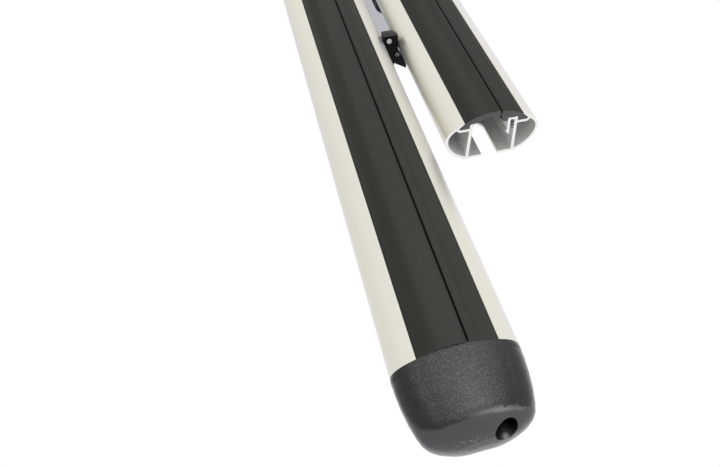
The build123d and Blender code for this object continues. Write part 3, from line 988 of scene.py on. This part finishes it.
@dataclass(frozen=True)
class Workshop:
    """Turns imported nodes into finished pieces.

    Lengths are millimetres and angles are degrees.
    """

    nodes: dict[str, bpy.types.Object]
    merge_distance: float = 0.001
    flat_angle: float = 0.1
    rounding_steps: int = 2
    rounded_from: float = 35.0
    sharp_from: float = 30.0

    @staticmethod
    def pick(piece: bpy.types.Object) -> None:
        """Makes a piece the only selected object, and the active one.

        Args:
            piece: the piece.
        """
        bpy.ops.object.select_all(action="DESELECT")
        piece.select_set(True)
        bpy.context.view_layer.objects.active = piece

    def copy_of(self, node: str) -> bpy.types.Object:
        """Copies a node's mesh into a new piece with whole, merged faces.

        Args:
            node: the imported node's name.

        Returns:
            The new piece, which stands for the node.
        """
        piece = bpy.data.objects.new(f"{node}_finished", self.nodes[node].data.copy())
        bpy.context.scene.collection.objects.link(piece)
        piece.data.materials.clear()
        self.pick(piece)
        bpy.ops.mesh.customdata_custom_splitnormals_clear()
        bpy.ops.object.mode_set(mode="EDIT")
        bpy.ops.mesh.select_all(action="SELECT")
        bpy.ops.mesh.remove_doubles(threshold=self.merge_distance * MM)
        bpy.ops.mesh.dissolve_limited(angle_limit=math.radians(self.flat_angle))
        bpy.ops.object.mode_set(mode="OBJECT")
        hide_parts(node)
        return piece

    def soften(self, piece: bpy.types.Object, width: float) -> None:
        """Rounds a piece's sharp edges.

        Args:
            piece: the piece.
            width: the rounding's width.
        """
        self.pick(piece)
        rounding = piece.modifiers.new("edges", "BEVEL")
        rounding.width = width * MM
        rounding.segments = self.rounding_steps
        rounding.limit_method = "ANGLE"
        rounding.angle_limit = math.radians(self.rounded_from)
        rounding.use_clamp_overlap = True
        bpy.ops.object.modifier_apply(modifier=rounding.name)

    def finish(self, piece: bpy.types.Object, finish: Finish) -> None:
        """Shades a piece smooth, gives it its material and fixes it to the frame.

        Args:
            piece: the piece.
            finish: its finish.
        """
        self.pick(piece)
        bpy.ops.object.shade_smooth_by_angle(angle=math.radians(self.sharp_from))
        piece.data.materials.append(finish.material())
        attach(piece, "root")
        LOG.info("%s: %d faces", piece.name, len(piece.data.polygons))

    def make(self, node: str, finish: Finish, edge: float = 0.0) -> None:
        """Makes a finished piece from a node.

        Args:
            node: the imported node's name.
            finish: the piece's finish.
            edge: the width of its softened edges, or 0 to leave them sharp.
        """
        piece = self.copy_of(node)
        if edge > 0.0:
            self.soften(piece, edge)
        self.finish(piece, finish)


@dataclass(frozen=True)
class RoofBar:
    """One bar: its extrusion, two rubber strips, end caps and feet."""

    bar: Bar
    workshop: Workshop
    layout: Layout
    capped: tuple[End, ...]
    rubber_edge: float = 0.25
    moulding_edge: float = 0.4
    steel_edge: float = 0.2

    def build(self) -> None:
        """Finishes every piece of the bar."""
        self.workshop.make(f"{self.bar.value}_extrusion", SatinAluminium(layout=self.layout))
        for strip in ("wide_strip", "narrow_strip"):
            self.workshop.make(f"{self.bar.value}_{strip}", StripRubber(), self.rubber_edge)
        for end in self.capped:
            self.cap(end)
        for end in End:
            self.foot(end)

    def cap(self, end: End) -> None:
        """Finishes an end cap and its screw.

        Args:
            end: which end of the bar it closes.
        """
        name = f"{self.bar.value}_{end.value}_cap"
        self.workshop.make(name, GrainedMoulding(layout=self.layout), self.moulding_edge)
        self.workshop.make(f"{name}_screw", PlatedSteel(), self.steel_edge)

    def foot(self, end: End) -> None:
        """Finishes a foot with its pad and fasteners.

        Args:
            end: which of the bar's two feet.
        """
        name = f"{self.bar.value}_{end.value}_foot"
        self.workshop.make(f"{name}_body", ShadedFootMoulding(layout=self.layout), self.moulding_edge)
        self.workshop.make(f"{name}_pad", StripRubber(), self.rubber_edge)
        self.workshop.make(f"{name}_nut_plate", PlatedSteel(), self.steel_edge)
        self.workshop.make(f"{name}_bolts", PlatedSteel(), self.steel_edge)
        low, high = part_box(f"{name}_lug_screws")
        between_screws = (low[2] + high[2]) / 2 / MM
        self.workshop.make(f"{name}_lug_screws", LugSteel(painted_shade_below=between_screws), self.steel_edge)


@dataclass(frozen=True)
class Lamp:
    """A rectangular light, turned towards the near ends of the bars."""

    name: str
    place: Place
    width: float
    height: float
    power: float
    target: Place = (0.0, -700.0, 50.0)

    def hang(self) -> None:
        """Adds the light."""
        data = bpy.data.lights.new(self.name, "AREA")
        data.shape = "RECTANGLE"
        data.size = self.width * MM
        data.size_y = self.height * MM
        data.energy = self.power
        lamp = bpy.data.objects.new(self.name, data)
        bpy.context.scene.collection.objects.link(lamp)
        lamp.location = Vector(self.place) * MM
        aim = Vector(self.target) * MM - lamp.location
        lamp.rotation_euler = aim.to_track_quat("-Z", "Y").to_euler()


@dataclass(frozen=True)
class Studio:
    """Floor, sky, lights and camera.

    The floor's grey shade lies between the bars, beyond the right bar's open end. The top light is the one
    that the cap's top mirrors, and the ridge light stands in front, where the cap's ridge mirrors it.
    """

    floor_size: float = 9000.0
    floor_drop: float = 0.1
    floor_colour: Colour = (0.86, 0.86, 0.86)
    floor_roughness: float = 0.8
    shade_colour: Colour = (0.48, 0.48, 0.52)
    shade_start: float = -412.0
    shade_full: float = -345.0
    shade_fading: float = 640.0
    shade_end: float = 760.0
    shade_middle: float = 0.0
    shade_half: float = 50.0
    shade_rim: float = 75.0
    sky_strength: float = 0.70
    lamps: tuple[Lamp, ...] = (
        Lamp("top_light", (250.0, -650.0, 1850.0), width=800.0, height=800.0, power=7.0),
        Lamp("ridge_light", (1040.0, -1940.0, 885.0), width=900.0, height=450.0, power=3.0),
    )
    camera_place: Place = (-125.22, -873.23, 366.65)
    camera_turn: Place = (45.1642, 0.0701, -14.6478)
    lens: float = 31.954
    sensor: float = 36.0
    shift: tuple[float, float] = (-0.0348, -0.1049)
    nearest_seen: float = 10.0

    def build(self) -> None:
        """Sets the stage."""
        self.floor()
        self.sky()
        for lamp in self.lamps:
            lamp.hang()
        self.camera()
        bpy.context.scene.view_settings.view_transform = "Standard"

    def shade(self, wiring: Wiring) -> bpy.types.NodeSocket:
        """Masks the floor's painted grey shadow.

        Args:
            wiring: the floor's wiring.

        Returns:
            The mask's socket.
        """
        place = wiring.split(wiring.own_place())
        beyond = wiring.window(place["Y"], self.shade_start * MM, self.shade_full * MM)
        gone = wiring.window(place["Y"], self.shade_fading * MM, self.shade_end * MM)
        aside = wiring.gap(place["X"], self.shade_middle * MM)
        outside = wiring.window(aside, self.shade_half * MM, self.shade_rim * MM)
        return wiring.times(wiring.times(beyond, wiring.rest_of(gone)), wiring.rest_of(outside))

    def floor(self) -> None:
        """A pale floor that looks white to the camera and in reflections, with a painted grey shadow between
        the bars; its real soft shadow shows only in the light it throws back.

        It lies a little under the pads and is see-through from below, so that the underside can be looked at.
        """
        middle = (0.0, 0.0, -self.floor_drop * MM)
        bpy.ops.mesh.primitive_plane_add(size=self.floor_size * MM, location=middle)
        floor = bpy.context.active_object
        floor.name = "studio_floor"
        material = bpy.data.materials.new("studio floor")
        material.use_nodes = True
        wiring = Wiring(material.node_tree)
        surface = material.node_tree.nodes["Principled BSDF"]
        surface.inputs["Base Color"].default_value = (*self.floor_colour, 1.0)
        surface.inputs["Roughness"].default_value = self.floor_roughness
        glow = wiring.node("ShaderNodeEmission", {"Strength": 1.0})
        # Painted shadow: grey between the bars, seen by the camera and in reflections.
        wiring.join(wiring.blend(self.shade(wiring), WHITE, self.shade_colour), glow.inputs["Color"])
        rays = wiring.node("ShaderNodeLightPath").outputs
        seen = wiring.reckon("MAXIMUM", rays["Is Camera Ray"], rays["Is Glossy Ray"])
        shown = wiring.node("ShaderNodeMixShader")
        wiring.join(wiring.reckon("MAXIMUM", seen, rays["Is Transmission Ray"]), shown.inputs[0])
        wiring.join(surface.outputs[0], shown.inputs[1])
        wiring.join(glow.outputs[0], shown.inputs[2])
        clear = wiring.node("ShaderNodeMixShader")
        wiring.join(wiring.node("ShaderNodeNewGeometry").outputs["Backfacing"], clear.inputs[0])
        wiring.join(shown.outputs[0], clear.inputs[1])
        wiring.join(wiring.node("ShaderNodeBsdfTransparent").outputs[0], clear.inputs[2])
        wiring.join(clear.outputs[0], material.node_tree.nodes["Material Output"].inputs["Surface"])
        floor.data.materials.append(material)

    def sky(self) -> None:
        """A plain sky: white to the camera and in reflections, dimmer as light."""
        world = bpy.data.worlds.new("studio sky")
        bpy.context.scene.world = world
        world.use_nodes = True
        wiring = Wiring(world.node_tree)
        background = world.node_tree.nodes["Background"]
        background.inputs["Color"].default_value = (*WHITE, 1.0)
        rays = wiring.node("ShaderNodeLightPath").outputs
        seen = wiring.reckon("MAXIMUM", rays["Is Camera Ray"], rays["Is Glossy Ray"])
        strength = wiring.reckon("MAXIMUM", seen, self.sky_strength)
        wiring.join(strength, background.inputs["Strength"])

    def camera(self) -> None:
        """The photograph's viewpoint."""
        data = bpy.data.cameras.new("photo_camera")
        data.lens = self.lens
        data.sensor_width = self.sensor
        data.sensor_fit = "HORIZONTAL"
        data.shift_x, data.shift_y = self.shift
        data.clip_start = self.nearest_seen * MM
        camera = bpy.data.objects.new("photo_camera", data)
        bpy.context.scene.collection.objects.link(camera)
        camera.location = Vector(self.camera_place) * MM
        camera.rotation_euler = [math.radians(turn) for turn in self.camera_turn]
        bpy.context.scene.camera = camera


def main() -> None:
    """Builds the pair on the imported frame."""
    logging.basicConfig(level=logging.INFO, format="%(message)s")
    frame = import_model()
    Studio().build()
    workshop = Workshop(frame["nodes"])
    layout = Layout.read()
    RoofBar(Bar.LEFT, workshop, layout, (End.NEAR, End.FAR)).build()
    RoofBar(Bar.RIGHT, workshop, layout, (End.FAR,)).build()


if __name__ == "__main__":
    main()
